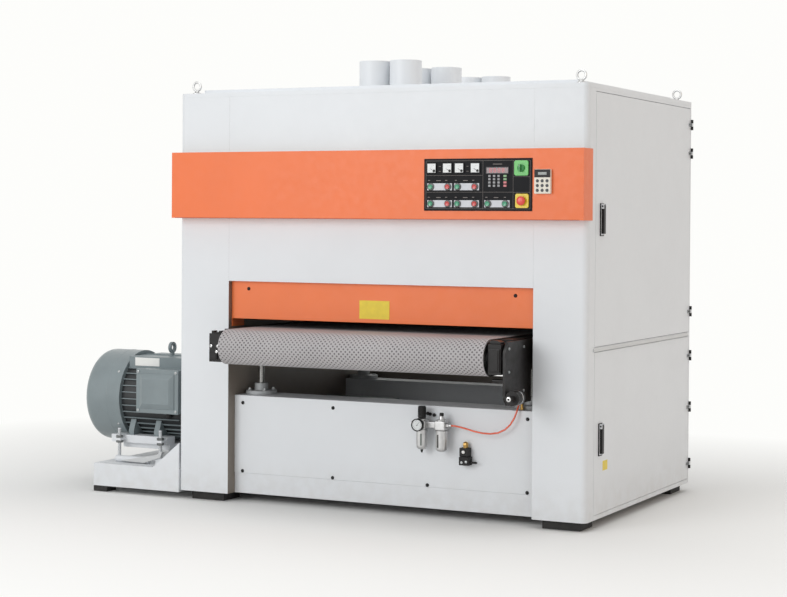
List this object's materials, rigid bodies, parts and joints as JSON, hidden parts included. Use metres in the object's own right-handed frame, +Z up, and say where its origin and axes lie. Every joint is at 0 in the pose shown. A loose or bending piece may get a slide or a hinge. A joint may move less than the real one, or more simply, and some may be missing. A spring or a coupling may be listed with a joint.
{
  "type": "wide belt planer sander",
  "caption": "Two-column cabinet machine that planes and sands boards fed through on a rising belt table, with a side motor.",
  "frame": {"origin": "on the floor, below the middle of the cabinet's front face", "axes": "+X to the right as seen from the infeed side, +Y from the front face to the back along the feed, +Z up"},
  "size_m": [2.7583, 1.8602, 2.095],
  "materials": {
    "white_paint": "satin powder coat",
    "orange_paint": "satin powder coat",
    "black_paint": "satin paint",
    "motor_paint": "satin machine enamel",
    "bright_steel": "ground",
    "zinc_plate": "zinc plated",
    "cast_iron": "painted casting",
    "black_rubber": "matt",
    "feed_belt_rubber": "matt, rough top",
    "abrasive_cloth": "coarse grit",
    "black_plastic": "fine texture",
    "grey_plastic": "fine texture",
    "green_plastic": "gloss",
    "red_plastic": "gloss",
    "air_aluminium": "die cast",
    "orange_hose": "smooth"
  },
  "bodies": {
    "cabinet": {"base_frame": "white_paint", "left_column": "white_paint", "right_column": "white_paint", "upper_front_panel": "white_paint", "roof_panel": "white_paint", "rear_panels": "white_paint", "front_band": "orange_paint", "entry_cover": "orange_paint", "lower_front_panel": "white_paint", "panel_screws": "black_paint", "dust_ports": "white_paint", "lifting_eyes": "bright_steel", "floor_pads": "black_rubber", "door_hinges": "black_paint", "control_panel": "black_plastic", "panel_instruments": "grey_plastic", "motor_mount": "white_paint", "motor_housing": "motor_paint", "fan_cowl": "motor_paint", "drive_belts": "black_rubber", "sanding_motor": "motor_paint", "air_unit": "air_aluminium", "hand_valve": "black_paint", "air_hose": "orange_hose", "lift_jacks": "cast_iron", "head_frames": "cast_iron", "sanding_belts": "abrasive_cloth", "electrics_plate": "zinc_plate"},
    "table": {"feed_table": "black_paint", "feed_belt": "feed_belt_rubber", "roller_brackets": "black_paint", "lift_screws": "bright_steel"},
    "front_roller_body": {"front_roller": "bright_steel"},
    "rear_roller_body": {"rear_roller": "bright_steel"},
    "cutterhead_body": {"cutterhead": "bright_steel"},
    "motor_rotor_body": {"motor_rotor": "bright_steel"},
    "sanding_pulley_body": {"sanding_pulley": "bright_steel"},
    "contact_roller_front_body": {"contact_roller_front": "black_rubber"},
    "tension_roller_front_body": {"tension_roller_front": "bright_steel"},
    "contact_roller_rear_body": {"contact_roller_rear": "black_rubber"},
    "tension_roller_rear_body": {"tension_roller_rear": "bright_steel"},
    "hold_down_front_body": {"hold_down_front": "black_rubber"},
    "hold_down_middle_body": {"hold_down_middle": "black_rubber"},
    "upper_door_body": {"upper_door": "white_paint"},
    "lower_door_body": {"lower_door": "white_paint"},
    "upper_handle_body": {"upper_handle": "black_plastic"},
    "lower_handle_body": {"lower_handle": "black_plastic"},
    "start_button_1_body": {"start_button_1": "green_plastic"},
    "start_button_2_body": {"start_button_2": "green_plastic"},
    "start_button_3_body": {"start_button_3": "green_plastic"},
    "start_button_4_body": {"start_button_4": "green_plastic"},
    "start_button_5_body": {"start_button_5": "green_plastic"},
    "start_button_6_body": {"start_button_6": "green_plastic"},
    "stop_button_1_body": {"stop_button_1": "red_plastic"},
    "stop_button_2_body": {"stop_button_2": "red_plastic"},
    "stop_button_3_body": {"stop_button_3": "red_plastic"},
    "stop_button_4_body": {"stop_button_4": "red_plastic"},
    "emergency_stop_body": {"emergency_stop": "red_plastic"},
    "main_switch_body": {"main_switch": "green_plastic"},
    "regulator_knob_body": {"regulator_knob": "black_plastic"}
  },
  "joints": [
    {"name": "table_lift", "type": "slide", "parent": "cabinet", "child": "table", "axis": [0, 0, 1], "range_m": [-0.13, 0.027]},
    {"name": "rear_roller_spin", "type": "hinge", "parent": "table", "child": "rear_roller_body", "pos_m": [0.012, 1.5, 0.7577], "axis": [1, 0, 0], "continuous": true},
    {"name": "front_roller_spin", "type": "hinge", "parent": "table", "child": "front_roller_body", "pos_m": [0.012, -0.2, 0.7577], "axis": [1, 0, 0], "continuous": true},
    {"name": "motor_spin", "type": "hinge", "parent": "cabinet", "child": "motor_rotor_body", "pos_m": [-1.3, 0.35, 0.449], "axis": [1, 0, 0], "continuous": true},
    {"name": "cutterhead_spin", "type": "hinge", "parent": "cabinet", "child": "cutterhead_body", "pos_m": [0.012, 0.35, 0.938], "axis": [1, 0, 0], "continuous": true},
    {"name": "contact_front_spin", "type": "hinge", "parent": "cabinet", "child": "contact_roller_front_body", "pos_m": [0.012, 0.76, 0.9803], "axis": [1, 0, 0], "continuous": true},
    {"name": "sanding_pulley_spin", "type": "hinge", "parent": "cabinet", "child": "sanding_pulley_body", "pos_m": [-0.9, 0.93, 0.3], "axis": [1, 0, 0], "continuous": true},
    {"name": "tension_front_spin", "type": "hinge", "parent": "cabinet", "child": "tension_roller_front_body", "pos_m": [0.012, 0.76, 1.645], "axis": [1, 0, 0], "continuous": true},
    {"name": "contact_rear_spin", "type": "hinge", "parent": "cabinet", "child": "contact_roller_rear_body", "pos_m": [0.012, 1.1, 0.9603], "axis": [1, 0, 0], "continuous": true},
    {"name": "tension_rear_spin", "type": "hinge", "parent": "cabinet", "child": "tension_roller_rear_body", "pos_m": [0.012, 1.145, 1.645], "axis": [1, 0, 0], "continuous": true},
    {"name": "hold_down_front_spin", "type": "hinge", "parent": "cabinet", "child": "hold_down_front_body", "pos_m": [0.012, 0.19, 0.8983], "axis": [1, 0, 0], "continuous": true},
    {"name": "hold_down_middle_spin", "type": "hinge", "parent": "cabinet", "child": "hold_down_middle_body", "pos_m": [0.012, 0.555, 0.8983], "axis": [1, 0, 0], "continuous": true},
    {"name": "upper_door_swing", "type": "hinge", "parent": "cabinet", "child": "upper_door_body", "pos_m": [1.051, 1.452, 1.298], "axis": [0, 0, 1], "range_deg": [0, 110]},
    {"name": "lower_door_swing", "type": "hinge", "parent": "cabinet", "child": "lower_door_body", "pos_m": [1.051, 1.452, 0.423], "axis": [0, 0, 1], "range_deg": [0, 110]},
    {"name": "upper_handle_swing", "type": "hinge", "parent": "upper_door_body", "child": "upper_handle_body", "pos_m": [1.0553, 0.167, 1.416], "axis": [0, -1, 0], "range_deg": [0, 60], "stiffness_Nm_per_rad": 0.3, "springref_deg": -17.19},
    {"name": "lower_handle_swing", "type": "hinge", "parent": "lower_door_body", "child": "lower_handle_body", "pos_m": [1.0553, 0.167, 0.448], "axis": [0, -1, 0], "range_deg": [0, 60], "stiffness_Nm_per_rad": 0.3, "springref_deg": -17.19},
    {"name": "start_button_1_press", "type": "slide", "parent": "cabinet", "child": "start_button_1_body", "axis": [0, 1, 0], "range_m": [0, 0.004], "stiffness_N_per_m": 500, "springref_m": -0.002},
    {"name": "start_button_2_press", "type": "slide", "parent": "cabinet", "child": "start_button_2_body", "axis": [0, 1, 0], "range_m": [0, 0.004], "stiffness_N_per_m": 500, "springref_m": -0.002},
    {"name": "start_button_3_press", "type": "slide", "parent": "cabinet", "child": "start_button_3_body", "axis": [0, 1, 0], "range_m": [0, 0.004], "stiffness_N_per_m": 500, "springref_m": -0.002},
    {"name": "start_button_4_press", "type": "slide", "parent": "cabinet", "child": "start_button_4_body", "axis": [0, 1, 0], "range_m": [0, 0.004], "stiffness_N_per_m": 500, "springref_m": -0.002},
    {"name": "start_button_5_press", "type": "slide", "parent": "cabinet", "child": "start_button_5_body", "axis": [0, 1, 0], "range_m": [0, 0.004], "stiffness_N_per_m": 500, "springref_m": -0.002},
    {"name": "start_button_6_press", "type": "slide", "parent": "cabinet", "child": "start_button_6_body", "axis": [0, 1, 0], "range_m": [0, 0.004], "stiffness_N_per_m": 500, "springref_m": -0.002},
    {"name": "stop_button_1_press", "type": "slide", "parent": "cabinet", "child": "stop_button_1_body", "axis": [0, 1, 0], "range_m": [0, 0.004], "stiffness_N_per_m": 500, "springref_m": -0.002},
    {"name": "stop_button_2_press", "type": "slide", "parent": "cabinet", "child": "stop_button_2_body", "axis": [0, 1, 0], "range_m": [0, 0.004], "stiffness_N_per_m": 500, "springref_m": -0.002},
    {"name": "stop_button_3_press", "type": "slide", "parent": "cabinet", "child": "stop_button_3_body", "axis": [0, 1, 0], "range_m": [0, 0.004], "stiffness_N_per_m": 500, "springref_m": -0.002},
    {"name": "stop_button_4_press", "type": "slide", "parent": "cabinet", "child": "stop_button_4_body", "axis": [0, 1, 0], "range_m": [0, 0.004], "stiffness_N_per_m": 500, "springref_m": -0.002},
    {"name": "emergency_stop_press", "type": "slide", "parent": "cabinet", "child": "emergency_stop_body", "axis": [0, 1, 0], "range_m": [0, 0.006], "stiffness_N_per_m": 1000, "springref_m": -0.003},
    {"name": "main_switch_turn", "type": "hinge", "parent": "cabinet", "child": "main_switch_body", "pos_m": [0.762, -0.067, 1.5795], "axis": [0, -1, 0], "range_deg": [0, 90]},
    {"name": "regulator_turn", "type": "hinge", "parent": "cabinet", "child": "regulator_knob_body", "pos_m": [0.249, 0.015, 0.451], "axis": [0, 0, 1], "range_deg": [-150, 150]}
  ],
  "couplings": [
    {"joint": "front_roller_spin", "follows": "rear_roller_spin", "ratio": 1},
    {"joint": "cutterhead_spin", "follows": "motor_spin", "ratio": 1.8382},
    {"joint": "sanding_pulley_spin", "follows": "contact_front_spin", "ratio": 0.70513},
    {"joint": "contact_rear_spin", "follows": "contact_front_spin", "ratio": 1},
    {"joint": "tension_front_spin", "follows": "contact_front_spin", "ratio": 1.6923},
    {"joint": "tension_rear_spin", "follows": "contact_front_spin", "ratio": 1.3846}
  ]
}
